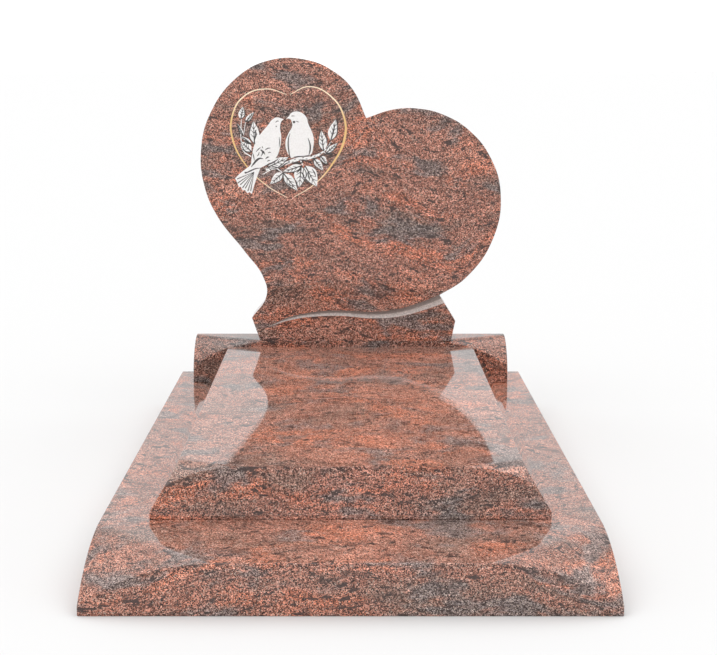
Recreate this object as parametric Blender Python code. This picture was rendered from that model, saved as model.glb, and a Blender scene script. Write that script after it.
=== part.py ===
"""Polished granite grave monument at full size, in metres, +Z up.

Four sawn and polished stones lie on each other by their own weight: a base slab on the ground, a ledger
slab over the grave, a plinth across its head and a leaning heart as the headstone. The foot of the grave
faces -Y, and the origin is on the ground under the middle of the base slab.
"""
import math

import bmesh
import bpy
from mathutils import Matrix, Vector

# The bed between two stones, and the distance at which the ends of a curve are welded
BED_GAP = 0.0003
WELD_DISTANCE = 0.00005

# Base slab, flat on the ground
BASE_WIDTH = 1.00
BASE_LENGTH = 2.00
BASE_THICKNESS = 0.10
BASE_SWEEP_FOOT = 0.020
BASE_SWEEP_START = 0.250
BASE_SWEEP_REACH = 0.300

# Ledger slab, with a low upright foot and flaring sides
LEDGER_WIDTH = 0.802
LEDGER_TOP_WIDTH = 0.698
LEDGER_THICKNESS = 0.1035
LEDGER_FOOT = 0.015
LEDGER_FRONT_LEAN = 0.018
LEDGER_FRONT_MARGIN = 0.305
LEDGER_SWEEP_FOOT = 0.012
LEDGER_SWEEP_START = 0.185
LEDGER_SWEEP_REACH = 0.125

# Plinth across the head of the grave
PLINTH_WIDTH = 0.90
PLINTH_DEPTH = 0.138
PLINTH_HEIGHT = 0.121
PLINTH_BACK_MARGIN = 0.049
PLINTH_SWEEP_FOOT = 0.038
PLINTH_SWEEP_START = 0.210
PLINTH_SWEEP_REACH = 0.130

# Headstone: a heart that leans to the left, on a foot cut from the same slab
HEADSTONE_WIDTH = 0.8465
HEADSTONE_HEIGHT = 0.799
HEADSTONE_THICKNESS = 0.100

# Its outline as shares of its width and height, counterclockwise seen from the front
LEFT_FOOT_SHARES = [(-0.3040, 0.0), (-0.3318, 0.0830)]
LEFT_LOBE_SHARES = [
    (-0.2816, 0.1661),
    (-0.2936, 0.2312),
    (-0.3527, 0.3189),
    (-0.4462, 0.4493),
    (-0.4864, 0.5520),
    (-0.4968, 0.6738),
    (-0.4654, 0.8053),
    (-0.3691, 0.9373),
    (-0.2636, 0.9924),
    (-0.1418, 0.9922),
    (-0.0517, 0.9503),
    (0.0068, 0.8914),
]
CLEFT_SHARES = (0.0521, 0.7908)
RIGHT_LOBE_SHARES = [
    (0.1409, 0.8207),
    (0.2238, 0.8243),
    (0.3123, 0.8007),
    (0.3945, 0.7473),
    (0.4655, 0.6528),
    (0.5005, 0.5276),
    (0.4774, 0.3674),
    (0.3876, 0.2273),
]
RIGHT_FOOT_SHARES = [(0.2994, 0.1643), (0.3530, 0.0723), (0.3392, 0.0)]

# A tapering wave is hollowed across the foot: its route as shares, its widths and its depth's share of them
WAVE_ROUTE_SHARES = [
    (-0.277, 0.0512), (-0.204, 0.0805), (-0.109, 0.0971), (-0.029, 0.0996),
    (0.072, 0.0931), (0.160, 0.1010), (0.241, 0.1248), (0.341, 0.1665),
]
WAVE_WIDTHS = [0.001, 0.010, 0.014, 0.016, 0.019, 0.022, 0.024, 0.029]
WAVE_DEPTH_SHARE = 0.36

SWEEP_STEPS = 14
SWEEP_OVERRUN = 1.08
CUTTER_MARGIN = 0.05
CURVE_STEPS = 10
WAVE_SIDES = 4

GRANITE_COLOR = (0.30, 0.135, 0.10, 1.0)
GRANITE_ROUGHNESS = 0.12


def clear_scene():
    """Removes what the file holds at the start."""
    for item in list(bpy.data.objects):
        bpy.data.objects.remove(item, do_unlink=True)


def new_collection(name):
    """A collection linked to the scene."""
    group = bpy.data.collections.new(name)
    bpy.context.scene.collection.children.link(group)
    return group


def polished_granite(name):
    """The material of one stone."""
    material = bpy.data.materials.new(name)
    material.use_nodes = True
    shader = material.node_tree.nodes["Principled BSDF"]
    shader.inputs["Base Color"].default_value = GRANITE_COLOR
    shader.inputs["Roughness"].default_value = GRANITE_ROUGHNESS
    shader.inputs["Metallic"].default_value = 0.0
    return material


def add_object(name, data, group, parent=None, location=(0.0, 0.0, 0.0)):
    """Links an object to its collection, under the monument's empty."""
    item = bpy.data.objects.new(name, data)
    item.location = location
    item.parent = parent
    group.objects.link(item)
    return item


def mark_as_cutter(item):
    """A cutter is only a guide and isn't one of the stones."""
    item.hide_render = True
    item.display_type = "WIRE"


def sawn_block(name, width, length, height):
    """A rectangular block whose origin is the middle of its underside."""
    mesh = bpy.data.meshes.new(name)
    form = bmesh.new()
    bmesh.ops.create_cube(form, size=1.0)
    bmesh.ops.translate(form, verts=form.verts, vec=(0.0, 0.0, 0.5))
    bmesh.ops.scale(form, verts=form.verts, vec=(width, length, height))
    form.to_mesh(mesh)
    form.free()
    return mesh


def flared_block(name, foot_size, foot_height, top_width, front_lean, height):
    """A block with an upright foot, whose sides and front lean in from the foot to a level top."""
    width, length = foot_size
    mesh = sawn_block(name, width, length, foot_height)
    form = bmesh.new()
    form.from_mesh(mesh)
    lid = max(form.faces, key=lambda face: face.calc_center_median().z)
    raised = bmesh.ops.extrude_face_region(form, geom=[lid])
    bmesh.ops.delete(form, geom=[lid], context="FACES_ONLY")
    corners = [part for part in raised["geom"] if isinstance(part, bmesh.types.BMVert)]
    for corner in corners:
        corner.co.x *= top_width / width
        corner.co.z = height
        if corner.co.y < 0:
            corner.co.y += front_lean
    bmesh.ops.recalc_face_normals(form, faces=form.faces)
    form.to_mesh(mesh)
    form.free()
    return mesh


def solid_from_curve(curve_object, group):
    """Turns a curve object into a welded mesh object in the same place, and removes the curve."""
    bpy.context.view_layer.update()
    graph = bpy.context.evaluated_depsgraph_get()
    mesh = bpy.data.meshes.new_from_object(curve_object.evaluated_get(graph))
    form = bmesh.new()
    form.from_mesh(mesh)
    bmesh.ops.remove_doubles(form, verts=form.verts, dist=WELD_DISTANCE)
    bmesh.ops.recalc_face_normals(form, faces=form.faces)
    form.to_mesh(mesh)
    form.free()
    name = curve_object.name
    place = curve_object.matrix_world.copy()
    bpy.data.objects.remove(curve_object, do_unlink=True)
    item = add_object(name, mesh, group)
    item.matrix_world = place
    return item


def flat_outline(name, points, thickness, group):
    """A slab whose outline is a closed row of straight stretches in the local XY plane."""
    curve = bpy.data.curves.new(name + "_outline", "CURVE")
    curve.dimensions = "2D"
    curve.fill_mode = "BOTH"
    curve.extrude = thickness / 2
    spline = curve.splines.new("POLY")
    spline.points.add(len(points) - 1)
    for point, (across, up) in zip(spline.points, points):
        point.co = (across, up, 0.0, 1.0)
    spline.use_cyclic_u = True
    return add_object(name, curve, group)


def cut(stone, cutter):
    """Takes the cutter's form out of the stone."""
    step = stone.modifiers.new(cutter.name, "BOOLEAN")
    step.operation = "DIFFERENCE"
    step.solver = "EXACT"
    step.object = cutter


def sweep_profile(across, drop):
    """The corner to be taken off: an arc that leaves the top level and falls by drop over across."""
    turn = 2 * math.atan2(drop, across)
    radius = (across ** 2 + drop ** 2) / (2 * drop)
    profile = []
    for step in range(SWEEP_STEPS + 1):
        angle = min(turn * SWEEP_OVERRUN, math.pi / 2) * step / SWEEP_STEPS
        profile.append((radius * math.sin(angle), radius * (math.cos(angle) - 1)))
    # The first chord runs on above the level top, so that it crosses the top cleanly
    inside = -profile[1][0]
    profile[0] = (inside, -profile[1][1])
    outside = profile[-1][0] + CUTTER_MARGIN
    return profile + [(outside, profile[-1][1]), (outside, CUTTER_MARGIN), (inside, CUTTER_MARGIN)]


def sweep_front_corners(stone, half_width, front, top, drop, start, reach, group):
    """Dresses both front corners with a convex sweep that runs out along the front edge.

    On the level top the sweep begins along a slanting line. That line leaves the front edge at the
    distance start from the middle and meets the side at the distance reach behind the front.
    """
    for side, label in ((-1, "left"), (1, "right")):
        line_start = Vector((side * start, front, 0.0))
        line_end = Vector((side * half_width, front + reach, 0.0))
        corner = Vector((side * half_width, front, 0.0))
        along = (line_end - line_start).normalized()
        outward = Vector((side * along.y, -side * along.x, 0.0))
        across = (corner - line_start).dot(outward)
        length = (line_end - line_start).length + 4 * CUTTER_MARGIN
        profile = sweep_profile(across, drop)
        curve = flat_outline(stone.name + "_sweep_" + label, profile, length, group)
        up = Vector((0.0, 0.0, 1.0))
        turn = Matrix((outward, up, outward.cross(up))).transposed().to_4x4()
        middle = (line_start + line_end) / 2 + Vector((0.0, 0.0, top))
        curve.matrix_world = Matrix.Translation(middle) @ turn
        cutter = solid_from_curve(curve, group)
        mark_as_cutter(cutter)
        cut(stone, cutter)


def heart_outline(name, group):
    """The headstone's outline as a smooth curve with sharp corners at the foot and the cleft."""
    curve = bpy.data.curves.new(name + "_outline", "CURVE")
    curve.dimensions = "2D"
    curve.fill_mode = "BOTH"
    curve.extrude = HEADSTONE_THICKNESS / 2
    curve.resolution_u = CURVE_STEPS
    smooth = set(LEFT_LOBE_SHARES + RIGHT_LOBE_SHARES)
    knots = LEFT_FOOT_SHARES + LEFT_LOBE_SHARES + [CLEFT_SHARES] + RIGHT_LOBE_SHARES + RIGHT_FOOT_SHARES
    spline = curve.splines.new("BEZIER")
    spline.bezier_points.add(len(knots) - 1)
    for point, (across, up) in zip(spline.bezier_points, knots):
        point.co = (across * HEADSTONE_WIDTH, up * HEADSTONE_HEIGHT, 0.0)
        kind = "AUTO" if (across, up) in smooth else "VECTOR"
        point.handle_left_type = kind
        point.handle_right_type = kind
    spline.use_cyclic_u = True
    return add_object(name, curve, group)


def wave_cutter(name, face, bottom, group):
    """A round tapering rod along the wave, sunk in the headstone's face by a share of its width."""
    curve = bpy.data.curves.new(name + "_route", "CURVE")
    curve.dimensions = "3D"
    curve.bevel_depth = 1.0
    curve.bevel_resolution = WAVE_SIDES
    curve.use_fill_caps = True
    curve.resolution_u = CURVE_STEPS
    spline = curve.splines.new("BEZIER")
    spline.bezier_points.add(len(WAVE_ROUTE_SHARES) - 1)
    for point, (across, up), width in zip(spline.bezier_points, WAVE_ROUTE_SHARES, WAVE_WIDTHS):
        depth = width * WAVE_DEPTH_SHARE
        radius = (width ** 2 / 4 + depth ** 2) / (2 * depth)
        proud = radius - depth
        point.co = (across * HEADSTONE_WIDTH, face - proud, bottom + up * HEADSTONE_HEIGHT)
        point.radius = radius
        point.handle_left_type = "AUTO"
        point.handle_right_type = "AUTO"
    return solid_from_curve(add_object(name, curve, group), group)


def build_base(stones, cutters, monument):
    """The base slab on the ground."""
    mesh = sawn_block("base_slab", BASE_WIDTH, BASE_LENGTH, BASE_THICKNESS)
    mesh.materials.append(polished_granite("base_granite"))
    stone = add_object("base_slab", mesh, stones, monument)
    drop = BASE_THICKNESS - BASE_SWEEP_FOOT
    sweep_front_corners(stone, BASE_WIDTH / 2, -BASE_LENGTH / 2, BASE_THICKNESS, drop,
                        BASE_SWEEP_START, BASE_SWEEP_REACH, cutters)


def build_plinth(stones, cutters, monument, bed, front):
    """The plinth across the head of the grave, which carries the headstone."""
    mesh = sawn_block("headstone_plinth", PLINTH_WIDTH, PLINTH_DEPTH, PLINTH_HEIGHT)
    mesh.materials.append(polished_granite("plinth_granite"))
    place = (0.0, front + PLINTH_DEPTH / 2, bed)
    stone = add_object("headstone_plinth", mesh, stones, monument, place)
    drop = PLINTH_HEIGHT - PLINTH_SWEEP_FOOT
    sweep_front_corners(stone, PLINTH_WIDTH / 2, front, bed + PLINTH_HEIGHT, drop,
                        PLINTH_SWEEP_START, PLINTH_SWEEP_REACH, cutters)


def build_ledger(stones, cutters, monument, bed, plinth_front):
    """The ledger slab, from the bare strip at the foot of the grave up to the plinth."""
    front = -BASE_LENGTH / 2 + LEDGER_FRONT_MARGIN
    length = plinth_front - BED_GAP - front
    mesh = flared_block("ledger_slab", (LEDGER_WIDTH, length), LEDGER_FOOT, LEDGER_TOP_WIDTH,
                        LEDGER_FRONT_LEAN, LEDGER_THICKNESS)
    mesh.materials.append(polished_granite("ledger_granite"))
    stone = add_object("ledger_slab", mesh, stones, monument, (0.0, front + length / 2, bed))
    drop = LEDGER_THICKNESS - LEDGER_SWEEP_FOOT
    sweep_front_corners(stone, LEDGER_WIDTH / 2, front, bed + LEDGER_THICKNESS, drop,
                        LEDGER_SWEEP_START, LEDGER_SWEEP_REACH, cutters)


def build_headstone(stones, cutters, monument, bed, face):
    """The leaning heart on its foot, with its face flush with the plinth's front."""
    outline = heart_outline("headstone", stones)
    outline.rotation_euler = (math.pi / 2, 0.0, 0.0)
    outline.location = (0.0, face + HEADSTONE_THICKNESS / 2, bed)
    stone = solid_from_curve(outline, stones)
    stone.parent = monument
    stone.data.materials.append(polished_granite("headstone_granite"))
    cutter = wave_cutter("headstone_wave", face, bed, cutters)
    mark_as_cutter(cutter)
    cut(stone, cutter)


def build_monument():
    """Stacks the four stones on each other."""
    clear_scene()
    stones = new_collection("grave_monument")
    cutters = new_collection("cutters")
    monument = add_object("monument", None, stones)
    base_top = BASE_THICKNESS + BED_GAP
    plinth_front = BASE_LENGTH / 2 - PLINTH_BACK_MARGIN - PLINTH_DEPTH
    plinth_top = base_top + PLINTH_HEIGHT + BED_GAP
    build_base(stones, cutters, monument)
    build_ledger(stones, cutters, monument, base_top, plinth_front)
    build_plinth(stones, cutters, monument, base_top, plinth_front)
    build_headstone(stones, cutters, monument, plinth_top, plinth_front)


build_monument()
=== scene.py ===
import math

import bpy
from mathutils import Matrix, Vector


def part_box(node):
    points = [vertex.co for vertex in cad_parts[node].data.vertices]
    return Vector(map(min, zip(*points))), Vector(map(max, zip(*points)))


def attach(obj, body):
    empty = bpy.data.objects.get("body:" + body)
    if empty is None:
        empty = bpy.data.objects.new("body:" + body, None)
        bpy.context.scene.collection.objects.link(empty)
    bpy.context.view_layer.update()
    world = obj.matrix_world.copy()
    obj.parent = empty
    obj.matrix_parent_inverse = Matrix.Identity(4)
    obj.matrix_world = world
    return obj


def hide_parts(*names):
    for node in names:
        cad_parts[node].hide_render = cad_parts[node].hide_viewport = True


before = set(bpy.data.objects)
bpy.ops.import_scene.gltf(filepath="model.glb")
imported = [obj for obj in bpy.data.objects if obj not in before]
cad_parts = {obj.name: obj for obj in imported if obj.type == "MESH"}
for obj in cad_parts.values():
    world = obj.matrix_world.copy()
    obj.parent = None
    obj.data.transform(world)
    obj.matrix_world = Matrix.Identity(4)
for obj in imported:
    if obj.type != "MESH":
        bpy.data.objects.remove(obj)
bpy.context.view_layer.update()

# The front corners' sweeps, in metres: where the sweep starts on the front edge, measured from the
# middle, how far it reaches back along the side, and the height of the foot that it leaves
BASE_SWEEP = {"start": 0.250, "reach": 0.300, "foot": 0.020}
LEDGER_SWEEP = {"start": 0.185, "reach": 0.125, "foot": 0.012}
PLINTH_SWEEP = {"start": 0.210, "reach": 0.130, "foot": 0.038}
SWEEP_CUTS = 36
SWEEP_OVERRUN = 1.04

# The ledger's low upright foot and its flared top
LEDGER_TOP_WIDTH = 0.698
LEDGER_FOOT = 0.015
LEDGER_FRONT_LEAN = 0.018

# Polished edges
ARRIS = 0.0022
ARRIS_SEGMENTS = 3
SMOOTH_ANGLE = math.radians(50)
SHARP_ANGLE = math.radians(32)
FLATS_WEIGHT = 100

# The headstone's outline, as shares of its width and height, from its left foot round to its right
LEFT_FOOT = [(-0.3040, 0.0), (-0.3318, 0.0830)]
LEFT_LOBE = [
    (-0.2816, 0.1661),
    (-0.2936, 0.2312),
    (-0.3527, 0.3189),
    (-0.4462, 0.4493),
    (-0.4864, 0.5520),
    (-0.4968, 0.6738),
    (-0.4654, 0.8053),
    (-0.3691, 0.9373),
    (-0.2636, 0.9924),
    (-0.1418, 0.9922),
    (-0.0517, 0.9503),
    (0.0068, 0.8914),
]
CLEFT = (0.0521, 0.7908)
RIGHT_LOBE = [
    (0.1409, 0.8207),
    (0.2238, 0.8243),
    (0.3123, 0.8007),
    (0.3945, 0.7473),
    (0.4655, 0.6528),
    (0.5005, 0.5276),
    (0.4774, 0.3674),
    (0.3876, 0.2273),
]
RIGHT_FOOT = [(0.2994, 0.1643), (0.3530, 0.0723), (0.3392, 0.0)]
OUTLINE_STEPS = 24

# The highest point of the curve between its two top knots, as a share of the height
OUTLINE_PEAK = 1.0005

# The wave across the foot: its route as shares, its widths in metres and its depth as a share of them
WAVE_ROUTE = [
    (-0.277, 0.0512), (-0.204, 0.0805), (-0.109, 0.0971), (-0.029, 0.0996),
    (0.072, 0.0931), (0.160, 0.1010), (0.241, 0.1248), (0.341, 0.1665),
]
WAVE_WIDTHS = [0.001, 0.010, 0.014, 0.016, 0.019, 0.022, 0.024, 0.029]
WAVE_DEPTH_SHARE = 0.36
WAVE_STEPS = 24
WAVE_FINENESS = 10

# The points of the wave's rod have their radii in metres
WAVE_RADIUS = 1.0

# How far up a face of the rod looks when it counts as its upper side, which gets the painted shade
FLANK_TURN = 0.06

# The distance at which the ends of a curve are welded
WELD_DISTANCE = 0.00002

# The painted motif's middle on the headstone's face, across and above the foot, in metres
MOTIF_MIDDLE = (-0.1745, 0.5635)

# How far each paint stands proud of the polish, and how deep it is sunk, in metres
GOLD_PROUD = 0.00008
WHITE_PROUD = 0.00010
LEAF_STEP = 0.000006
BRANCH_PROUD = 0.00026
GREY_PROUD = 0.00036
PAINT_SINK = 0.0004
PAINT_CROWN = 0.00001

# The motif itself is drawn in millimetres from its middle: across to the right and up. A place less than
# PAINT_LEVEL from the drawing's plane belongs to the rim
MILLIMETRE = 0.001
PAINT_LEVEL = 0.001
PAINT_EXTRUDE = 1.0
SHAPE_STEPS = 6

# A stroke is a four-sided rod through a row of places, each with the brush's width there. Its radius is
# half that width
STROKE_RADIUS = 0.5
STROKE_FINENESS = 0
STROKE_STEPS = 8
LEFT_LINE = [
    (-4, 134, 1.6), (-59, 149.5, 2.8), (-125, 128, 3.6), (-158, 70, 5.0), (-156, 8, 5.2),
    (-119, -64, 3.4), (-62, -120, 2.4), (-4, -154.5, 1.6),
]
RIGHT_LINE = [
    (5, 134, 1.6), (60, 156, 2.8), (123, 126, 3.8), (156, 72, 5.2), (158, 12, 6.6), (119, -66, 4.8),
    (70, -119, 2.8), (16, -152.5, 1.6),
]
LEFT_BIRD = [
    (-32, 70.5), (-19, 67.5), (-12, 65), (-18, 61), (-23, 45), (-20, 15), (-24, -15), (-35, -42),
    (-57, -59), (-79, -71), (-92, -105), (-104, -144), (-110, -139), (-117, -142), (-123, -133),
    (-130, -134), (-135, -124), (-141, -124), (-144, -113), (-151, -100), (-134, -84), (-117, -71),
    (-107, -62), (-104, -45), (-100, -22), (-91, 5), (-75, 28), (-57, 49), (-44, 65),
]
RIGHT_BIRD = [
    (21, 87), (8, 82), (2, 74), (-6, 66), (4, 66.5), (10, 57), (11, 46), (0, 25), (-8, 2), (-4, -25),
    (7, -43), (33, -38), (61, -35), (70, -10), (71, 13), (65, 33), (56, 53), (51, 70), (38, 83),
]
CRISP = {
    (-12, 65), (-79, -71), (-104, -144), (-110, -139), (-117, -142), (-123, -133), (-130, -134),
    (-135, -124), (-141, -124), (-144, -113), (-151, -100), (-6, 66), (7, -43),
}

# Each leaf is its stalk end, its tip and its width
LEAVES = [
    ((-133, 65), (-126, 101), 19), ((-120, 57), (-95, 86), 14), ((-95, -4), (-98, 61), 30),
    ((-126, 19), (-144, 55), 9), ((-104, -4), (-133, 18), 13), ((-104, -25), (-134, 3), 24),
    ((99, -24), (92, 35), 25), ((119, 5), (134, 66), 27), ((105, -30), (139, -1), 16),
    ((90, -37), (108, -60), 17), ((71, -45), (98, -79), 21), ((-15, -84), (-52, -117), 25),
    ((39, -64), (-17, -83), 21), ((36, -65), (30, -126), 36), ((46, -64), (80, -124), 40),
    ((-15, -85), (25, -136), 27), ((-58, -69), (1, -41), 27),
]
MAIN_BRANCH = [
    (-64, -75, 8), (-32, -68, 9), (-2, -56, 9), (28, -46, 10), (61, -42, 8), (98, -25, 4), (121, 3, 2),
]
TWIGS = [
    [(-105, -39, 3), (-127, -22, 2.6), (-133, 15, 2.4), (-132, 55, 2), (-131, 66, 1.2)],
    [(-126, 19, 1.6), (-120, 57, 1.6)],
    [(-73, -89, 1.6), (-50, -76, 3)],
    [(-36, -70, 3), (-15, -85, 2)],
    [(34, -50, 4), (41, -64, 2)],
    [(61, -42, 3), (71, -46, 2)],
    [(98, -25, 2), (105, -30, 2)],
    [(80, -36, 3), (91, -38, 2)],
]
LEFT_BIRD_STROKES = [
    [(-105, -68, 1.4), (-97, -58, 4.6), (-89, -49, 6.0), (-80, -44, 4.0), (-71, -45, 1.2)],
    [(-79, -20, 1.4), (-71, -26, 6.0), (-66, -33, 1.4)],
    [(-77, -38, 1.2), (-73, -29, 3.4), (-75, -19, 1.2)],
    [(-66, -21, 1.2), (-58, -16, 3.0), (-50, -15, 1.2)],
    [(-91, -26, 1.2), (-85, -19, 2.8), (-78, -13, 1.2)],
    [(-65, -46, 1.2), (-59, -41, 3.6), (-54, -40, 1.2)],
    [(-60, -53, 1.2), (-56, -50, 2.6), (-51, -50, 1.2)],
    [(-57, -29, 1.2), (-53, -27, 2.6), (-49, -28, 1.2)],
    [(-101, -28, 1.2), (-98, -38, 2.8), (-96, -50, 1.2)],
    [(-74, -10, 1.0), (-73, -13, 2.2), (-71, -16, 1.0)],
    [(-88, -38, 1.2), (-84, -33, 2.6), (-82, -26, 1.2)],
    [(-26, 16, 0.8), (-24.5, 2, 2.6), (-26, -13, 0.8)],
    [(-36, 56, 1.0), (-31, 60, 2.4), (-26, 60, 1.0)],
    [(-35.5, 46, 1.6), (-33.5, 45.5, 3.0), (-31.5, 45, 1.6)],
    [(-68, -67, 1.2), (-56, -61, 3.6), (-43, -55, 4.0), (-31, -47, 2.2), (-28, -43, 1.0)],
    [(-122, -86, 2.4), (-107, -79, 3.8), (-93, -73, 3.0), (-79, -71, 1.2)],
    [(-124, -85, 2), (-121, -84, 5), (-117, -84, 2)],
]
RIGHT_BIRD_STROKES = [
    [(5, 26, 1.0), (1, 14, 2.8), (-0.5, -4, 3.4), (1, -22, 3.4), (4, -38, 2.4), (8, -46, 1.0)],
    [(55, 13, 1.0), (59, 2, 3.0), (61.5, -12, 4.2), (60, -26, 3.6), (57, -36, 1.2)],
    [(12.6, 57.5, 4.4), (16, 57.5, 7.0), (19.4, 57.5, 4.4)],
    [(21, 60.5, 0.8), (25, 59, 2.2), (30, 57, 0.8)],
    [(8, 74, 0.8), (13, 74.5, 2.2), (18, 74, 0.8)],
    [(15, -40, 1.2), (28, -39, 3.4), (44, -37.5, 1.4)],
    [(42, -38, 1.2), (52, -37, 3.2), (61, -36, 1.2)],
]
BARK_STROKES = [
    [(64, -46, 2.4), (72, -45, 6.0), (80, -45, 2.4)],
    [(84, -40, 1.2), (95, -36, 3.8), (105, -33, 1.6)],
    [(105, -32, 2.4), (114, -32, 4.6), (124, -31, 1.6)],
    [(-28, -72, 1.6), (-18, -67, 4.4), (-7, -59, 3.4), (4, -55, 1.6)],
    [(8, -60, 2.0), (20, -56, 5.6), (33, -58, 4.4), (41, -53, 1.6)],
    [(29, -49, 1.6), (46, -50, 4.4), (53, -56, 1.6)],
    [(57, -53, 1.6), (63, -57, 4.0), (72, -56, 1.2)],
    [(-50, -65, 1.2), (-38, -68, 2.6), (-27, -71, 1.2)],
    [(-22, -50, 1.0), (-10, -51, 2.2), (2, -47, 1.0)],
    [(-60, -66, 1.0), (-54, -73, 2.2), (-48, -78, 1.0)],
]
LEAF_SHADOWS = [
    [(34, -67, 2.0), (31, -76, 4.6), (23, -84, 2.0)],
    [(37, -84, 2.0), (42, -92, 4.0), (40, -100, 1.6)],
    [(40, -100, 1.6), (50, -110, 4.0), (60, -112, 1.2)],
    [(56, -80, 1.0), (56, -94, 3.4), (60, -106, 1.0)],
    [(66, -74, 1.2), (73, -84, 3.8), (77, -96, 1.2)],
    [(-6, -112, 1.2), (4, -119, 3.0), (14, -124, 1.2)],
    [(20, -104, 1.2), (23, -116, 4.0), (24, -128, 1.2)],
    [(-18, -92, 1.2), (-14, -102, 3.4), (-16, -112, 1.2)],
    [(-126, 8, 1.2), (-116, 2, 3.6), (-104, -6, 1.2)],
    [(-130, -18, 1.2), (-118, -26, 3.6), (-106, -27, 1.2)],
    [(-93, 36, 1.2), (-91, 24, 4.6), (-95, 6, 1.4)],
    [(-122, 62, 1.2), (-112, 60, 3.6), (-102, 62, 1.2)],
    [(103, 22, 1.0), (109, 12, 3.4), (106, -2, 1.2)],
    [(90, -48, 1.2), (96, -56, 3.6), (96, -68, 1.2)],
    [(122, 12, 1.2), (126, 30, 4.2), (132, 52, 1.2)],
    [(106, -22, 1.2), (112, -12, 3.0), (120, -2, 1.2)],
]

# The tail's feathers fan out from one root
TAIL_ROOT = (-97, -82, 0.8)
TAIL_END_WIDTH = 2.6
TAIL_ENDS = [(-107, -136), (-115, -136), (-122, -128), (-130, -127), (-136, -118), (-143, -113), (-145, -102)]

# A leaf's belly and shoulder: where they lie along it, and half their width as a share of half the leaf's
BELLY_PLACE = 0.30
SHOULDER_PLACE = 0.62
OUTLINE_SHARES = (0.95, 0.80)
SHADE_SHARES = (0.86, 0.72)

# The dark line along a leaf's lower edge, and how much of its width is left at the stalk and the tip
EDGE_WIDTH = 2.6
EDGE_AT_STALK = 0.5
EDGE_AT_TIP = 0.3

# A leaf's veins: the middle one, and where the side ones leave it, how far they run on and reach out
VEIN_WIDTH = 2.2
MIDDLE_VEIN_SHARE = 1.6
VEIN_SHARES = [0.28, 0.46, 0.64]
VEIN_RUN = 0.16
VEIN_REACH = 0.396
VEIN_REACH_FALL = 0.252

# Short strokes along the branch's edges, a share of its half width from its middle
HATCH_GAP = 9.0
HATCH_LENGTH = 6.5
HATCH_WIDTH = 2.4
HATCH_OUT = 0.55

# What is left of a fine stroke's width at its thin end
THIN_END = 0.4

# Granite colours, as linear light
BROWN_RED = (0.330, 0.139, 0.096, 1.0)
SALMON = (0.415, 0.178, 0.122, 1.0)
ORANGE = (0.545, 0.166, 0.086, 1.0)
DULL_BROWN = (0.240, 0.128, 0.095, 1.0)
BLUE_GREY = (0.160, 0.134, 0.126, 1.0)
DARK_VEIN = (0.040, 0.026, 0.024, 1.0)
DARK_GRAIN = (0.024, 0.012, 0.010, 1.0)
PALE_GRAIN = (0.30, 0.24, 0.20, 1.0)

# How the rock flowed: the noise that stirred it, how far, and how each pattern is drawn out along the bed
SWIRL_NOISE = {"scale": 2.6, "detail": 2.0, "rough": 0.5}
SWIRL_PUSH = 0.22
BED_STRETCH = (1.0, 1.1, 4.0)
LUMP_STRETCH = (1.0, 1.0, 2.7)
STREAK_STRETCH = (1.0, 1.0, 8.0)
GRAIN_STRETCH = (1.0, 1.0, 1.1)
FLECK_STRETCH = (1.0, 1.0, 1.5)

# A black fleck's size, in grains
FLECK_SHARE = 1.45

# The broad zones: each pattern's noise, and the noise levels between which it comes in and how strongly
GROUND_NOISE = {"scale": 3.0, "detail": 5.0, "rough": 0.60, "warp": 0.3}
GROUND_STOPS = [(0.36, DULL_BROWN), (0.48, BROWN_RED), (0.60, SALMON)]
FLAME_NOISE = {"scale": 5.2, "detail": 4.0, "rough": 0.60, "warp": 0.4}
FLAME_STOPS = [(0.50, 0.0), (0.62, 0.66)]
ISLAND_NOISE = {"scale": 6.4, "detail": 4.0, "rough": 0.58, "warp": 0.2}
ISLAND_STOPS = [(0.525, 0.0), (0.61, 0.82)]
STREAK_NOISE = {"scale": 11.0, "detail": 5.0, "rough": 0.62, "warp": 0.3}
STREAK_STOPS = [(0.32, 0.74), (0.68, 1.28)]
WISP_NOISE = {"scale": 27.0, "detail": 3.0, "rough": 0.60}
WISP_STOPS = [(0.34, 0.80), (0.66, 1.20)]

# The grains: how bright each one is, and which share of them is dark, pale or black
LIGHT_STOPS = [
    (0.0, (0.30, 0.27, 0.26, 1.0)),
    (0.5, (0.92, 0.90, 0.90, 1.0)),
    (1.0, (1.82, 2.00, 2.12, 1.0)),
]
DARK_STOPS = [(0.75, 0.0), (0.76, 1.0)]
PALE_STOPS = [(0.89, 0.0), (0.90, 1.0)]
BLACK_STOPS = [(0.90, 0.0), (0.91, 1.0)]

# Thin dark lines where a noise crosses its middle level, the places that have them, and small clots
LINE_NOISE = {"scale": 5.0, "detail": 3.0, "warp": 0.5}
LINE_LEVEL = 0.5
LINE_STOPS = [(0.0, 0.58), (0.010, 0.46), (0.019, 0.0)]
LINE_PLACE_NOISE = {"scale": 8.0, "detail": 2.0}
LINE_PLACE_STOPS = [(0.50, 0.0), (0.56, 1.0)]
CLOT_NOISE = {"scale": 34.0, "detail": 3.0, "rough": 0.60}
CLOT_STOPS = [(0.61, 0.0), (0.625, 0.9)]

# Each stone's cut of the block: where its pattern lies, the size of a grain in metres, and its tone
BASE_CUT = {"shift": (5.3, 2.2, 3.7), "grain": 0.0017, "tone": 1.26}
LEDGER_CUT = {"shift": (3.1, 1.7, 0.4), "grain": 0.0018, "tone": 1.28}
PLINTH_CUT = {"shift": (7.3, 2.9, 1.1), "grain": 0.0022, "tone": 0.97}
HEADSTONE_CUT = {"shift": (11.9, 4.3, 2.7), "grain": 0.0022, "tone": 1.22}
POLISH_ROUGHNESS = 0.04
POLISH_IOR = 1.5
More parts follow.
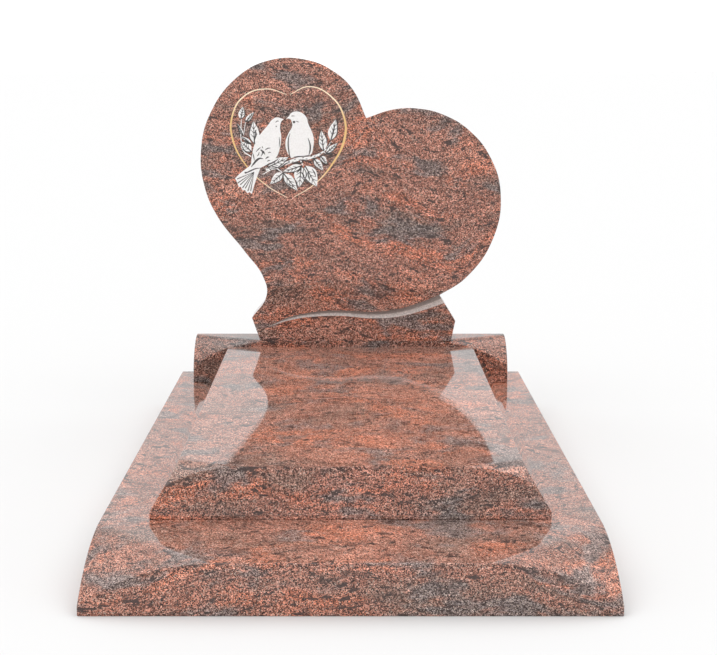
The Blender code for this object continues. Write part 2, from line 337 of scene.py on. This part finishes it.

# The honed wave's colours, from its upper flank, darker as painted shade because it looks down, to its lower
# one
HONED_PAINTED_SHADE = (0.235, 0.205, 0.190, 1.0)
HONED_DARK = (0.34, 0.295, 0.275, 1.0)
HONED_PALE = (0.68, 0.585, 0.55, 1.0)
HONED_ROUGHNESS = 0.45

# The gold paint, full, and paler near the line's top and foot as a painted highlight, by its height in metres
PAINTED_HIGHLIGHT_GOLD = (1.0, 0.84, 0.62, 1.0)
FULL_GOLD = (0.84, 0.57, 0.24, 1.0)
GOLD_STOPS = [(0.650, PAINTED_HIGHLIGHT_GOLD), (0.715, FULL_GOLD), (0.850, FULL_GOLD), (0.905, PAINTED_HIGHLIGHT_GOLD)]
GOLD_ROUGHNESS = 0.28

# The brushed paints, thin and full: cover and gloss by the brush's noise
THIN_WHITE = (0.90, 0.90, 0.89, 1.0)
FULL_WHITE = (0.99, 0.99, 0.985, 1.0)
THIN_GREY = (0.075, 0.066, 0.063, 1.0)
FULL_GREY = (0.036, 0.034, 0.034, 1.0)
BRUSH_NOISE = {"scale": 260.0, "detail": 3.0, "rough": 0.60}
THIN_COVER = 0.36
FULL_COVER = 0.58
THIN_ROUGHNESS = 0.50
FULL_ROUGHNESS = 0.36

# The white sky: its level against the sine of the height above the horizon
SKY_STOPS = [(0.0, 0.70), (0.05, 0.70), (0.11, 0.52), (0.28, 0.52), (0.37, 0.38), (0.52, 0.38), (0.72, 1.0)]
SKY_STRENGTH = 1.66

# The wide soft lamp above, and the floor
LAMP_POWER = 0.35
LAMP_SPREAD = math.radians(100)
LAMP_TILT = math.radians(12)
FLOOR_SIZE = 4000.0
FLOOR_WHITE = (0.71, 0.71, 0.71, 1.0)
FLOOR_ROUGHNESS = 0.9

# The camera: it stands on the grave's axis, in front of its foot, and looks a little down
PHOTO_WIDTH = 717
FOCAL_PIXELS = 1705
SENSOR_WIDTH = 36.0
CAMERA_PLACE = (0.0, -4.0, 0.987)
CAMERA_DOWN = math.radians(8.59)
AXIS_PIXEL = 350.5


def start_alone():
    """Deselects everything before a new primitive."""
    if bpy.context.mode != "OBJECT":
        bpy.ops.object.mode_set(mode="OBJECT")
    bpy.ops.object.select_all(action="DESELECT")


def pick(item):
    """Makes an object the only one that is selected, and the active one."""
    start_alone()
    item.select_set(True)
    bpy.context.view_layer.objects.active = item


def edit(item):
    """Picks an object and opens its mesh."""
    pick(item)
    bpy.ops.object.mode_set(mode="EDIT")
    bpy.ops.mesh.select_mode(type="VERT")


def leave_edit():
    bpy.ops.object.mode_set(mode="OBJECT")


def select_vertices(item, test):
    """Selects the vertices whose place passes a test. The mesh is open before and after."""
    bpy.ops.mesh.select_all(action="DESELECT")
    bpy.ops.object.mode_set(mode="OBJECT")
    for vertex in item.data.vertices:
        vertex.select = test(vertex.co)
    bpy.ops.object.mode_set(mode="EDIT")


def apply_all(item):
    """Applies every modifier of a piece, in order."""
    pick(item)
    for step in list(item.modifiers):
        bpy.ops.object.modifier_apply(modifier=step.name)


def sawn_block(name, low, high):
    """A rectangular block between two corners, with its place in its mesh."""
    start_alone()
    bpy.ops.mesh.primitive_cube_add(size=1.0, location=(0.0, 0.0, 0.0))
    stone = bpy.context.object
    stone.name = name
    stone.data.name = name
    edit(stone)
    bpy.ops.mesh.select_all(action="SELECT")
    bpy.ops.transform.resize(value=high - low)
    bpy.ops.transform.translate(value=(low + high) / 2)
    leave_edit()
    return stone


def flare(stone, foot_top, top, top_width, front_lean):
    """Raises the block's lid to its full height, and leans its sides and front in."""
    edit(stone)
    select_vertices(stone, lambda place: place.z > foot_top - ARRIS)
    bpy.ops.mesh.extrude_region_move(TRANSFORM_OT_translate={"value": (0.0, 0.0, top - foot_top)})
    foot_width = stone.dimensions.x
    bpy.ops.transform.resize(value=(top_width / foot_width, 1.0, 1.0), center_override=(0.0, 0.0, 0.0))
    leave_edit()
    front = min(corner.co.y for corner in stone.data.vertices)
    edit(stone)
    select_vertices(stone, lambda place: place.z > top - ARRIS and place.y < front + ARRIS)
    bpy.ops.transform.translate(value=(0.0, front_lean, 0.0))
    leave_edit()


def sweep_corners(stone, low, high, sweep):
    """Cuts both front corners down in a round sweep, one flat cut after the other.

    The sweep is part of a cylinder that touches the level top along a slanting line and comes down
    to the foot at the corner.
    """
    drop = high.z - low.z - sweep["foot"]
    for side in (-1, 1):
        line_start = Vector((side * sweep["start"], low.y, high.z))
        line_end = Vector((side * high.x, low.y + sweep["reach"], high.z))
        corner = Vector((side * high.x, low.y, high.z))
        along = (line_end - line_start).normalized()
        outward = Vector((side * along.y, -side * along.x, 0.0))
        across = (corner - line_start).dot(outward)
        radius = (across ** 2 + drop ** 2) / (2 * drop)
        turn = 2 * math.atan2(drop, across) * SWEEP_OVERRUN
        axis = line_start - Vector((0.0, 0.0, radius))
        edit(stone)
        for step in range(SWEEP_CUTS):
            angle = turn * (step + 0.5) / SWEEP_CUTS
            facing = outward * math.sin(angle) + Vector((0.0, 0.0, math.cos(angle)))
            bpy.ops.mesh.select_all(action="SELECT")
            bpy.ops.mesh.bisect(plane_co=axis + facing * radius, plane_no=facing,
                                use_fill=True, clear_outer=True)
        leave_edit()


def soften(stone):
    """Rounds the arrises a little."""
    bevel = stone.modifiers.new("arris", "BEVEL")
    bevel.width = ARRIS
    bevel.segments = ARRIS_SEGMENTS
    bevel.limit_method = "ANGLE"
    bevel.angle_limit = SHARP_ANGLE
    apply_all(stone)


def polish(stone):
    """Smooth shading that leaves every large face flat."""
    pick(stone)
    bpy.ops.object.shade_smooth_by_angle(angle=SMOOTH_ANGLE)
    weights = stone.modifiers.new("flats", "WEIGHTED_NORMAL")
    weights.keep_sharp = True
    weights.weight = FLATS_WEIGHT
    apply_all(stone)


def finish_stone(stone, node):
    """Gives a stone its polish and puts it in its solid's place."""
    polish(stone)
    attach(stone, "root")
    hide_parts(node)


def new_curve(name, knots, closed):
    """A curve in its own XY plane through its knots, each an (across, up, smooth) row."""
    start_alone()
    bpy.ops.curve.primitive_bezier_curve_add(location=(0.0, 0.0, 0.0))
    curve = bpy.context.object
    curve.name = name
    spline = curve.data.splines[0]
    spline.bezier_points.add(len(knots) - len(spline.bezier_points))
    for point, (across, up, smooth) in zip(spline.bezier_points, knots):
        point.co = (across, up, 0.0)
        kind = "AUTO" if smooth else "VECTOR"
        point.handle_left_type = kind
        point.handle_right_type = kind
    spline.use_cyclic_u = closed
    return curve


def flat_curve(name, knots, extrude, steps):
    """A filled outline with a thickness to both sides."""
    curve = new_curve(name, knots, True)
    curve.data.dimensions = "2D"
    curve.data.fill_mode = "BOTH"
    curve.data.extrude = extrude
    curve.data.resolution_u = steps
    return curve


def round_curve(name, knots, radius, fineness, steps):
    """A capped rod, whose radius is multiplied by its points' own radii."""
    curve = new_curve(name, knots, False)
    curve.data.dimensions = "3D"
    curve.data.bevel_depth = radius
    curve.data.bevel_resolution = fineness
    curve.data.use_fill_caps = True
    curve.data.resolution_u = steps
    return curve


def make_mesh(curve):
    """Turns a curve into a closed mesh with its faces outwards."""
    pick(curve)
    bpy.ops.object.convert(target="MESH")
    edit(curve)
    bpy.ops.mesh.select_all(action="SELECT")
    bpy.ops.mesh.remove_doubles(threshold=WELD_DISTANCE)
    bpy.ops.mesh.normals_make_consistent(inside=False)
    leave_edit()
    return curve


def stand_up(item, place):
    """Turns a flat mesh upright to face the foot of the grave and moves it to its place."""
    for vertex in item.data.vertices:
        across, up, out = vertex.co
        vertex.co = (across + place[0], place[1] - out, up + place[2])
    item.data.update()


def cut_heart(low, high):
    """The headstone: a leaning heart on its foot, sawn from one slab."""
    width = high.x - low.x
    height = (high.z - low.z) / OUTLINE_PEAK
    knots = [(x * width, z * height, False) for x, z in LEFT_FOOT]
    knots += [(x * width, z * height, True) for x, z in LEFT_LOBE]
    knots.append((CLEFT[0] * width, CLEFT[1] * height, False))
    knots += [(x * width, z * height, True) for x, z in RIGHT_LOBE]
    knots += [(x * width, z * height, False) for x, z in RIGHT_FOOT]
    stone = make_mesh(flat_curve("headstone_stone", knots, (high.y - low.y) / 2, OUTLINE_STEPS))
    stand_up(stone, (0.0, (low.y + high.y) / 2, low.z))
    return stone


def wave_rod(low, high):
    """The round tapering rod that hollows the wave out of the headstone's foot."""
    width = high.x - low.x
    height = high.z - low.z
    knots = [(x * width, z * height, True) for x, z in WAVE_ROUTE]
    curve = round_curve("wave_rod", knots, WAVE_RADIUS, WAVE_FINENESS, WAVE_STEPS)
    for point, wide in zip(curve.data.splines[0].bezier_points, WAVE_WIDTHS):
        depth = wide * WAVE_DEPTH_SHARE
        point.radius = (wide ** 2 / 4 + depth ** 2) / (2 * depth)
        point.co.z = point.radius - depth
    rod = make_mesh(curve)
    stand_up(rod, (0.0, low.y, low.z))
    return rod


def paint_shade_on_upper_side(rod):
    """Gives the rod's upper side the darker colour, painted shade. It cuts the flank that looks down."""
    for face in rod.data.polygons:
        face.material_index = 1 if face.normal.z > FLANK_TURN else 0


def hollow(stone, rod):
    """Takes the rod's form out of the stone. The cut keeps the rod's colours, with the painted shade on its
    upper side.
    """
    cut = stone.modifiers.new("wave", "BOOLEAN")
    cut.operation = "DIFFERENCE"
    cut.solver = "EXACT"
    cut.object = rod
    cut.material_mode = "TRANSFER"
    apply_all(stone)
    bpy.data.objects.remove(rod, do_unlink=True)


def lay_paint(item, face, bottom, proud):
    """Turns a motif mesh in millimetres upright into the headstone's face.

    Its rim is proud of the polish by a hair, its middle a trace more, and its underside is sunk in.
    """
    for vertex in item.data.vertices:
        across, up, out = vertex.co
        if out < -PAINT_LEVEL:
            out = -PAINT_SINK
        elif out > PAINT_LEVEL:
            out = proud + PAINT_CROWN
        else:
            out = proud
        vertex.co = (
            MOTIF_MIDDLE[0] + across * MILLIMETRE,
            face - out,
            bottom + MOTIF_MIDDLE[1] + up * MILLIMETRE,
        )
    item.data.update()


def join_pieces(name, pieces, material):
    """Joins painted shapes of one colour into one piece."""
    start_alone()
    for piece in pieces:
        piece.select_set(True)
    bpy.context.view_layer.objects.active = pieces[0]
    bpy.ops.object.join()
    joined = bpy.context.object
    joined.name = name
    joined.data.name = name
    joined.data.materials.clear()
    joined.data.materials.append(material)
    edit(joined)
    bpy.ops.mesh.select_all(action="SELECT")
    bpy.ops.mesh.normals_make_consistent(inside=False)
    leave_edit()
    bpy.ops.object.shade_smooth_by_angle(angle=SMOOTH_ANGLE)
    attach(joined, "root")


def painted_shape(name, knots, face, bottom, proud):
    """A thin filled shape, sunk in the face and proud of it by a hair."""
    shape = make_mesh(flat_curve(name, knots, PAINT_EXTRUDE, SHAPE_STEPS))
    lay_paint(shape, face, bottom, proud)
    return shape


def painted_stroke(name, route, face, bottom, proud):
    """A brush stroke whose width in millimetres changes along its route."""
    knots = [(across, up, True) for across, up, wide in route]
    curve = round_curve(name, knots, STROKE_RADIUS, STROKE_FINENESS, STROKE_STEPS)
    for point, (across, up, wide) in zip(curve.data.splines[0].bezier_points, route):
        point.radius = wide
    stroke = make_mesh(curve)
    lay_paint(stroke, face, bottom, proud)
    return stroke


def half_width(start, end, wide):
    """Half a leaf's width, square to its middle."""
    return (end - start).normalized().orthogonal() * wide / 2


def leaf_outline(stalk, tip, wide):
    """Knots of one pointed leaf."""
    start, end = Vector(stalk), Vector(tip)
    across = half_width(start, end, wide)
    low, high = start.lerp(end, BELLY_PLACE), start.lerp(end, SHOULDER_PLACE)
    belly, shoulder = across * OUTLINE_SHARES[0], across * OUTLINE_SHARES[1]
    sides = [low + belly, high + shoulder, end, high - shoulder, low - belly]
    knots = [(start.x, start.y, False)]
    for place in sides:
        knots.append((place.x, place.y, place is not end))
    return knots


def leaf_veins(stalk, tip, wide):
    """The middle vein of a leaf and its side veins, as strokes."""
    start, end = Vector(stalk), Vector(tip)
    along = end - start
    across = half_width(start, end, wide) * 2
    thin = VEIN_WIDTH * THIN_END
    rows = [[(start.x, start.y, VEIN_WIDTH * MIDDLE_VEIN_SHARE), (end.x, end.y, thin)]]
    for share in VEIN_SHARES:
        for side in (-1, 1):
            root = start + along * share
            out = root + along * VEIN_RUN + across * side * (VEIN_REACH - share * VEIN_REACH_FALL)
            rows.append([(root.x, root.y, VEIN_WIDTH), (out.x, out.y, thin)])
    return rows


def leaf_shade(stalk, tip, wide):
    """The dark line along a leaf's lower edge, which parts it from the next leaf."""
    start, end = Vector(stalk), Vector(tip)
    across = half_width(start, end, wide)
    if across.y > 0:
        across = -across
    low = start.lerp(end, BELLY_PLACE) + across * SHADE_SHARES[0]
    high = start.lerp(end, SHOULDER_PLACE) + across * SHADE_SHARES[1]
    return [
        (start.x, start.y, EDGE_WIDTH * EDGE_AT_STALK),
        (low.x, low.y, EDGE_WIDTH),
        (high.x, high.y, EDGE_WIDTH),
        (end.x, end.y, EDGE_WIDTH * EDGE_AT_TIP),
    ]


def bark_hatching(route):
    """Short dark strokes along both edges of a branch, by turns."""
    rows = []
    side = 1
    thin = HATCH_WIDTH * THIN_END
    for (x, z, wide), (next_x, next_z, next_wide) in zip(route, route[1:]):
        start, end = Vector((x, z)), Vector((next_x, next_z))
        length = (end - start).length
        along = (end - start).normalized()
        across = along.orthogonal()
        for step in range(int(length / HATCH_GAP)):
            share = (step + 0.5) * HATCH_GAP / length
            half = (wide + (next_wide - wide) * share) / 2
            middle = start.lerp(end, share) + across * side * half * HATCH_OUT
            tail = middle - along * HATCH_LENGTH / 2
            head = middle + along * HATCH_LENGTH / 2
            rows.append([(tail.x, tail.y, thin), (middle.x, middle.y, HATCH_WIDTH), (head.x, head.y, thin)])
            side = -side
    return rows


def paint_birds(face, bottom, white):
    """The two birds, on top of every leaf."""
    proud = WHITE_PROUD + LEAF_STEP * len(LEAVES)
    for name, outline in (("motif_left_bird", LEFT_BIRD), ("motif_right_bird", RIGHT_BIRD)):
        knots = [(across, up, (across, up) not in CRISP) for across, up in outline]
        bird = painted_shape(name, knots, face, bottom, proud)
        join_pieces(name, [bird], white)


def paint_leaves(face, bottom, white):
    """The leaves, each a trace higher than the one before. Returns the strokes that are drawn on them."""
    leaves = []
    drawing = []
    for count, (stalk, tip, wide) in enumerate(LEAVES):
        knots = leaf_outline(stalk, tip, wide)
        leaves.append(painted_shape("leaf", knots, face, bottom, WHITE_PROUD + LEAF_STEP * count))
        drawing += leaf_veins(stalk, tip, wide)
        drawing.append(leaf_shade(stalk, tip, wide))
    join_pieces("motif_leaves", leaves, white)
    return drawing


def paint_strokes(name, rows, face, bottom, proud, material):
    """A row of strokes of one colour, as one piece."""
    strokes = [painted_stroke("stroke", row, face, bottom, proud) for row in rows]
    join_pieces(name, strokes, material)


def paint_motif(face, bottom):
    """The gold heart line with two white birds on a leafy branch."""
    gold = gold_paint()
    white = brushed_paint("white_monument_paint", THIN_WHITE, FULL_WHITE)
    grey = brushed_paint("grey_monument_paint", THIN_GREY, FULL_GREY)
    lines = [LEFT_LINE, RIGHT_LINE]
    paint_strokes("motif_heart_line", lines, face, bottom, GOLD_PROUD, gold)
    paint_birds(face, bottom, white)
    drawing = paint_leaves(face, bottom, white)
    drawing += LEFT_BIRD_STROKES + RIGHT_BIRD_STROKES + BARK_STROKES + LEAF_SHADOWS
    drawing += bark_hatching(MAIN_BRANCH)
    drawing += [[TAIL_ROOT, end + (TAIL_END_WIDTH,)] for end in TAIL_ENDS]
    paint_strokes("motif_drawing", drawing, face, bottom, GREY_PROUD, grey)
    branches = [MAIN_BRANCH] + TWIGS
    paint_strokes("motif_branch", branches, face, bottom, BRANCH_PROUD, white)


class Recipe:
    """Short words for the nodes of one material, or of the sky."""

    def __init__(self, owner, shader):
        owner.use_nodes = True
        self.owner = owner
        self.nodes = owner.node_tree.nodes
        self.links = owner.node_tree.links
        self.shader = self.nodes[shader]

    def fill(self, socket, value):
        """A socket takes a plain value, or the outcome of another node."""
        if isinstance(value, bpy.types.NodeSocket):
            self.links.new(value, socket)
        else:
            socket.default_value = value

    def give(self, name, value):
        """Fills one socket of the shader."""
        self.fill(self.shader.inputs[name], value)

    def place(self, shift=(0.0, 0.0, 0.0)):
        """The piece's own place in metres, shifted."""
        coordinates = self.nodes.new("ShaderNodeTexCoord")
        mapping = self.nodes.new("ShaderNodeMapping")
        mapping.inputs["Location"].default_value = shift
        self.fill(mapping.inputs["Vector"], coordinates.outputs["Object"])
        return mapping.outputs["Vector"]

    def height(self, vector):
        """The part of a direction or place that points up."""
        split = self.nodes.new("ShaderNodeSeparateXYZ")
        self.fill(split.inputs["Vector"], vector)
        return split.outputs["Z"]

    def stretch(self, vector, scale):
        """The same place, drawn out or pressed together."""
        mapping = self.nodes.new("ShaderNodeMapping")
        mapping.inputs["Scale"].default_value = scale
        self.fill(mapping.inputs["Vector"], vector)
        return mapping.outputs["Vector"]

    def bend(self, vector, offset, amount):
        """Pushes the place about by a soft noise, as the rock flowed."""
        push = self.nodes.new("ShaderNodeVectorMath")
        push.operation = "MULTIPLY_ADD"
        push.inputs[1].default_value = (amount, amount, amount)
        self.fill(push.inputs[0], offset)
        self.fill(push.inputs[2], vector)
        return push.outputs["Vector"]

    def noise(self, vector, scale, detail=3.0, rough=0.55, warp=0.0, outcome="Fac"):
        """Soft cloudy noise."""
        node = self.nodes.new("ShaderNodeTexNoise")
        node.inputs["Scale"].default_value = scale
        node.inputs["Detail"].default_value = detail
        node.inputs["Roughness"].default_value = rough
        node.inputs["Distortion"].default_value = warp
        self.fill(node.inputs["Vector"], vector)
        return node.outputs[outcome]

    def grains(self, vector, size):
        """Three random numbers for each grain of about that size in metres."""
        node = self.nodes.new("ShaderNodeTexVoronoi")
        node.inputs["Scale"].default_value = 1 / size
        self.fill(node.inputs["Vector"], vector)
        split = self.nodes.new("ShaderNodeSeparateColor")
        self.fill(split.inputs["Color"], node.outputs["Color"])
        return split.outputs

    def ramp(self, value, stops):
        """A colour ramp; each stop is its place and its colour or grey level."""
        node = self.nodes.new("ShaderNodeValToRGB")
        marks = node.color_ramp.elements
        while len(marks) < len(stops):
            marks.new(0.5)
        for mark, (place, color) in zip(marks, stops):
            mark.position = place
            mark.color = color if isinstance(color, tuple) else (color, color, color, 1.0)
        self.fill(node.inputs["Fac"], value)
        return node.outputs["Color"]

    def mix(self, share, first, second, blend="MIX"):
        """Lays the second colour over the first."""
        node = self.nodes.new("ShaderNodeMix")
        node.data_type = "RGBA"
        node.blend_type = blend
        for name, value in (("Factor", share), ("A", first), ("B", second)):
            self.fill(next(s for s in node.inputs if s.name == name and s.enabled), value)
        return next(s for s in node.outputs if s.enabled)

    def multiply(self, first, second):
        """One colour dimmed or brightened by another."""
        return self.mix(1.0, first, second, "MULTIPLY")

    def distance(self, value, level):
        """How far a number is from a level, to either side."""
        difference = self.nodes.new("ShaderNodeMath")
        difference.operation = "SUBTRACT"
        self.fill(difference.inputs[0], value)
        self.fill(difference.inputs[1], level)
        size = self.nodes.new("ShaderNodeMath")
        size.operation = "ABSOLUTE"
        self.fill(size.inputs[0], difference.outputs["Value"])
        return size.outputs["Value"]


def new_material(name):
    """A recipe for a new material."""
    return Recipe(bpy.data.materials.new(name), "Principled BSDF")


def granite_zones(recipe, bed, lumps, drawn):
    """The broad zones of colour: flames and blue-grey islands in the brown-red ground, and its streaks."""
    ground = recipe.ramp(recipe.noise(bed, **GROUND_NOISE), GROUND_STOPS)
    flames = recipe.ramp(recipe.noise(lumps, **FLAME_NOISE), FLAME_STOPS)
    ground = recipe.mix(flames, ground, ORANGE)
    islands = recipe.ramp(recipe.noise(lumps, **ISLAND_NOISE), ISLAND_STOPS)
    ground = recipe.mix(islands, ground, BLUE_GREY)
    ground = recipe.multiply(ground, recipe.ramp(recipe.noise(drawn, **STREAK_NOISE), STREAK_STOPS))
    return recipe.multiply(ground, recipe.ramp(recipe.noise(drawn, **WISP_NOISE), WISP_STOPS))


def granite_grains(recipe, ground, place, grain):
    """The grains: each its own brightness, some dark, some pale and some larger ones black."""
    grains = recipe.grains(recipe.stretch(place, GRAIN_STRETCH), grain)
    ground = recipe.multiply(ground, recipe.ramp(grains["Red"], LIGHT_STOPS))
    ground = recipe.mix(recipe.ramp(grains["Green"], DARK_STOPS), ground, DARK_GRAIN)
    ground = recipe.mix(recipe.ramp(grains["Blue"], PALE_STOPS), ground, PALE_GRAIN, "ADD")
    flecks = recipe.grains(recipe.stretch(place, FLECK_STRETCH), grain * FLECK_SHARE)
    return recipe.mix(recipe.ramp(flecks["Red"], BLACK_STOPS), ground, DARK_GRAIN)


def granite_lines(recipe, ground, bed, lumps):
    """Thin dark lines that follow the bed, in some places, and small dark clots."""
    lines = recipe.ramp(recipe.distance(recipe.noise(bed, **LINE_NOISE), LINE_LEVEL), LINE_STOPS)
    places = recipe.ramp(recipe.noise(lumps, **LINE_PLACE_NOISE), LINE_PLACE_STOPS)
    ground = recipe.mix(recipe.multiply(lines, places), ground, DARK_VEIN)
    clots = recipe.ramp(recipe.noise(lumps, **CLOT_NOISE), CLOT_STOPS)
    return recipe.mix(clots, ground, DARK_VEIN)


def red_granite(name, shift, grain, tone):
    """Polished multicolour red granite whose bed lies level, cut from one part of the block."""
    recipe = new_material(name)
    place = recipe.place(shift)
    bent = recipe.bend(place, recipe.noise(place, outcome="Color", **SWIRL_NOISE), SWIRL_PUSH)
    bed = recipe.stretch(bent, BED_STRETCH)
    lumps = recipe.stretch(bent, LUMP_STRETCH)
    drawn = recipe.stretch(bent, STREAK_STRETCH)
    ground = granite_zones(recipe, bed, lumps, drawn)
    ground = granite_grains(recipe, ground, place, grain)
    ground = granite_lines(recipe, ground, bed, lumps)
    recipe.give("Base Color", recipe.multiply(ground, (tone, tone, tone, 1.0)))
    recipe.give("Roughness", POLISH_ROUGHNESS)
    recipe.give("IOR", POLISH_IOR)
    return recipe.owner


def honed_granite(name, dark, pale):
    """The cut wave is only honed, so it is paler than the polish and its grain hardly shows."""
    recipe = new_material(name)
    grains = recipe.grains(recipe.place(), HEADSTONE_CUT["grain"])
    recipe.give("Base Color", recipe.ramp(grains["Red"], [(0.0, dark), (1.0, pale)]))
    recipe.give("Roughness", HONED_ROUGHNESS)
    return recipe.owner


def gold_paint():
    """Gold monument paint, paler near the line's top and foot as a painted highlight."""
    recipe = new_material("gold_monument_paint")
    # The pale gold near the top and the foot of the line is a painted highlight
    recipe.give("Base Color", recipe.ramp(recipe.height(recipe.place()), GOLD_STOPS))
    recipe.give("Roughness", GOLD_ROUGHNESS)
    return recipe.owner


def brushed_paint(name, thin, full):
    """Monument paint laid on by brush, a little uneven in its cover and its gloss."""
    recipe = new_material(name)
    cover = recipe.noise(recipe.place(), **BRUSH_NOISE)
    recipe.give("Base Color", recipe.ramp(cover, [(THIN_COVER, thin), (FULL_COVER, full)]))
    gloss = [(THIN_COVER, THIN_ROUGHNESS), (FULL_COVER, FULL_ROUGHNESS)]
    recipe.give("Roughness", recipe.ramp(cover, gloss))
    return recipe.owner


def build_base():
    """The base slab on the ground."""
    low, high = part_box("base_slab")
    base = sawn_block("base_slab_stone", low, high)
    sweep_corners(base, low, high, BASE_SWEEP)
    soften(base)
    base.data.materials.append(red_granite("base_granite", **BASE_CUT))
    finish_stone(base, "base_slab")


def build_ledger():
    """The slab over the grave, with its low upright foot and leaning sides."""
    low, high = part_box("ledger_slab")
    foot_top = low.z + LEDGER_FOOT
    ledger = sawn_block("ledger_slab_stone", low, Vector((high.x, high.y, foot_top)))
    flare(ledger, foot_top, high.z, LEDGER_TOP_WIDTH, LEDGER_FRONT_LEAN)
    sweep_corners(ledger, low, high, LEDGER_SWEEP)
    soften(ledger)
    ledger.data.materials.append(red_granite("ledger_granite", **LEDGER_CUT))
    finish_stone(ledger, "ledger_slab")


def build_plinth():
    """The block across the head of the grave."""
    low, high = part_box("headstone_plinth")
    plinth = sawn_block("headstone_plinth_stone", low, high)
    sweep_corners(plinth, low, high, PLINTH_SWEEP)
    soften(plinth)
    plinth.data.materials.append(red_granite("plinth_granite", **PLINTH_CUT))
    finish_stone(plinth, "headstone_plinth")


def build_headstone():
    """The leaning heart with the honed wave in its foot and the painted motif in its face."""
    low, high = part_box("headstone")
    heart = cut_heart(low, high)
    soften(heart)
    heart.data.materials.append(red_granite("headstone_granite", **HEADSTONE_CUT))
    rod = wave_rod(low, high)
    rod.data.materials.append(honed_granite("honed_granite", HONED_DARK, HONED_PALE))
    # The upper flank's copy of the honed granite is darker: painted shade where the cut looks down
    rod.data.materials.append(honed_granite("honed_granite_painted_shade", HONED_PAINTED_SHADE, HONED_DARK))
    paint_shade_on_upper_side(rod)
    hollow(heart, rod)
    finish_stone(heart, "headstone")
    paint_motif(low.y, low.z)


def build_floor():
    """A plain pale floor."""
    start_alone()
    bpy.ops.mesh.primitive_plane_add(size=FLOOR_SIZE, location=(0.0, 0.0, 0.0))
    floor = bpy.context.object
    floor.name = "studio_floor"
    recipe = new_material("studio_floor_white")
    recipe.give("Base Color", FLOOR_WHITE)
    recipe.give("Roughness", FLOOR_ROUGHNESS)
    floor.data.materials.append(recipe.owner)


def build_sky():
    """White surroundings, graded by height."""
    sky = Recipe(bpy.data.worlds.new("studio_white"), "Background")
    direction = sky.nodes.new("ShaderNodeTexCoord")
    sky.give("Color", sky.ramp(sky.height(direction.outputs["Generated"]), SKY_STOPS))
    sky.give("Strength", SKY_STRENGTH)
    bpy.context.scene.world = sky.owner


def build_lamp():
    """One large soft lamp above, a little towards the foot of the grave."""
    lamp = bpy.data.lights.new("ceiling_light", "SUN")
    lamp.energy = LAMP_POWER
    lamp.angle = LAMP_SPREAD
    item = bpy.data.objects.new("ceiling_light", lamp)
    item.rotation_euler = (LAMP_TILT, 0.0, 0.0)
    bpy.context.scene.collection.objects.link(item)


def build_studio():
    """The surroundings, and colours shown as they are."""
    build_sky()
    build_lamp()
    build_floor()
    bpy.context.scene.view_settings.view_transform = "Standard"
    bpy.context.scene.view_settings.look = "None"


def build_camera():
    """The camera at the photo's viewing angle."""
    camera = bpy.data.cameras.new("photo_camera")
    camera.sensor_width = SENSOR_WIDTH
    camera.lens = FOCAL_PIXELS / PHOTO_WIDTH * SENSOR_WIDTH
    camera.shift_x = (PHOTO_WIDTH / 2 - AXIS_PIXEL) / PHOTO_WIDTH
    item = bpy.data.objects.new("photo_camera", camera)
    item.location = CAMERA_PLACE
    item.rotation_euler = (math.pi / 2 - CAMERA_DOWN, 0.0, 0.0)
    bpy.context.scene.collection.objects.link(item)
    bpy.context.scene.camera = item


build_camera()
build_base()
build_ledger()
build_plinth()
build_headstone()
build_studio()
start_alone()
